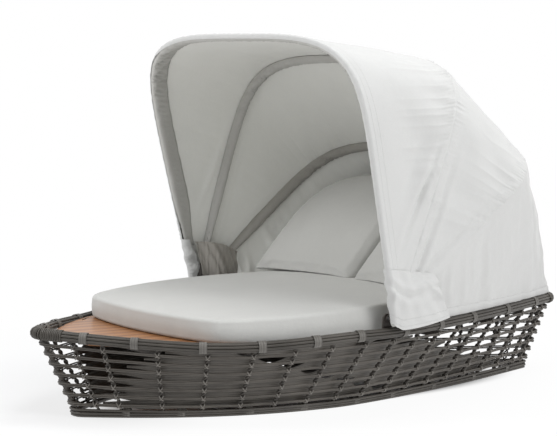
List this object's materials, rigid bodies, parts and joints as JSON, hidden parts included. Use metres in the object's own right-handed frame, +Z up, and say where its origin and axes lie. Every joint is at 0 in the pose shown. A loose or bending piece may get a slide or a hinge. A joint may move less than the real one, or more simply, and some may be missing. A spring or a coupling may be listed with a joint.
{
  "type": "outdoor daybed with canopy",
  "caption": "Boat-shaped woven daybed on a welded frame, with a wooden prow tray, a mattress, back cushions and a cloth canopy on hinged bows that fold back over the stern",
  "frame": {"origin": "on the floor, at the centre of the base of the bounding box", "axes": "+X towards the head end and stern, -X to the prow and tray, +Y to the left of someone lying with the head at the stern, +Z up"},
  "size_m": [2.2986, 1.4048, 1.3165],
  "materials": {
    "frame_metal": "welded aluminium tube under a matt dark taupe powder coat",
    "rim_strand": "round synthetic wicker strand, dark taupe brown, satin",
    "weave_strand": "thin round synthetic wicker strand, dark taupe brown, satin",
    "tub_band": "flat synthetic wicker bands, brown, matt",
    "teak": "oiled teak boards",
    "deck_board": "matt dark board",
    "mattress_cloth": "light warm grey outdoor cloth",
    "cushion_cloth": "light warm grey outdoor cloth",
    "canopy_cloth": "off-white outdoor canopy cloth",
    "sleeve_cloth": "taupe bow sleeves and gathered covers",
    "hardware": "stainless steel",
    "nylon": "black nylon"
  },
  "bodies": {
    "hull": {"back_cushion_left": "cushion_cloth", "back_cushion_right": "cushion_cloth", "backrest_frame": "frame_metal", "base_strand_1": "rim_strand", "base_strand_2": "rim_strand", "base_strand_3": "rim_strand", "deck_board_left_1": "deck_board", "deck_board_left_2": "deck_board", "deck_board_left_3": "deck_board", "deck_board_left_4": "deck_board", "deck_board_right_1": "deck_board", "deck_board_right_2": "deck_board", "deck_board_right_3": "deck_board", "deck_board_right_4": "deck_board", "glide_left_1": "nylon", "glide_left_2": "nylon", "glide_left_3": "nylon", "glide_right_1": "nylon", "glide_right_2": "nylon", "glide_right_3": "nylon", "hull_frame": "frame_metal", "inner_tub": "tub_band", "mattress": "mattress_cloth", "pivot_bolt_left": "hardware", "pivot_bolt_right": "hardware", "pivot_cover_left": "sleeve_cloth", "pivot_cover_right": "sleeve_cloth", "pivot_nut_left": "hardware", "pivot_nut_right": "hardware", "prow_tray": "teak", "rim_strand_1": "rim_strand", "rim_strand_2": "rim_strand", "rim_strand_3": "rim_strand", "rim_strand_4": "rim_strand", "rim_strand_5": "rim_strand", "spacer_left_1": "nylon", "spacer_left_2": "nylon", "spacer_right_1": "nylon", "spacer_right_2": "nylon", "weave_row_1": "weave_strand", "weave_row_2": "weave_strand", "weave_row_3": "weave_strand", "weave_row_4": "weave_strand", "weave_row_5": "weave_strand", "weave_row_6": "weave_strand", "weave_row_7": "weave_strand"},
    "rear_bow_body": {"rear_bow": "frame_metal", "rear_bow_sleeve": "sleeve_cloth", "canopy_rear": "canopy_cloth"},
    "middle_bow_body": {"middle_bow": "frame_metal", "middle_bow_sleeve": "sleeve_cloth", "canopy_middle": "canopy_cloth"},
    "front_bow_body": {"front_bow": "frame_metal", "front_bow_sleeve": "sleeve_cloth", "canopy_front": "canopy_cloth", "side_flap_left": "canopy_cloth", "side_flap_right": "canopy_cloth"}
  },
  "joints": [
    {"name": "canopy_fold", "type": "hinge", "parent": "hull", "child": "rear_bow_body", "pos_m": [-0.11, 0, 0.34], "axis": [0, 1, 0], "range_deg": [0, 35], "deforming": ["canopy_rear", "pivot_cover_left", "pivot_cover_right"]},
    {"name": "middle_bow_fold", "type": "hinge", "parent": "rear_bow_body", "child": "middle_bow_body", "pos_m": [-0.11, 0, 0.34], "axis": [0, 1, 0], "range_deg": [0, 26], "deforming": ["canopy_middle"]},
    {"name": "front_bow_fold", "type": "hinge", "parent": "middle_bow_body", "child": "front_bow_body", "pos_m": [-0.11, 0, 0.34], "axis": [0, 1, 0], "range_deg": [0, 25], "deforming": ["canopy_front", "side_flap_left", "side_flap_right"]}
  ],
  "couplings": [
    {"joint": "middle_bow_fold", "follows": "canopy_fold", "ratio": 0.737},
    {"joint": "front_bow_fold", "follows": "canopy_fold", "ratio": 0.7}
  ]
}
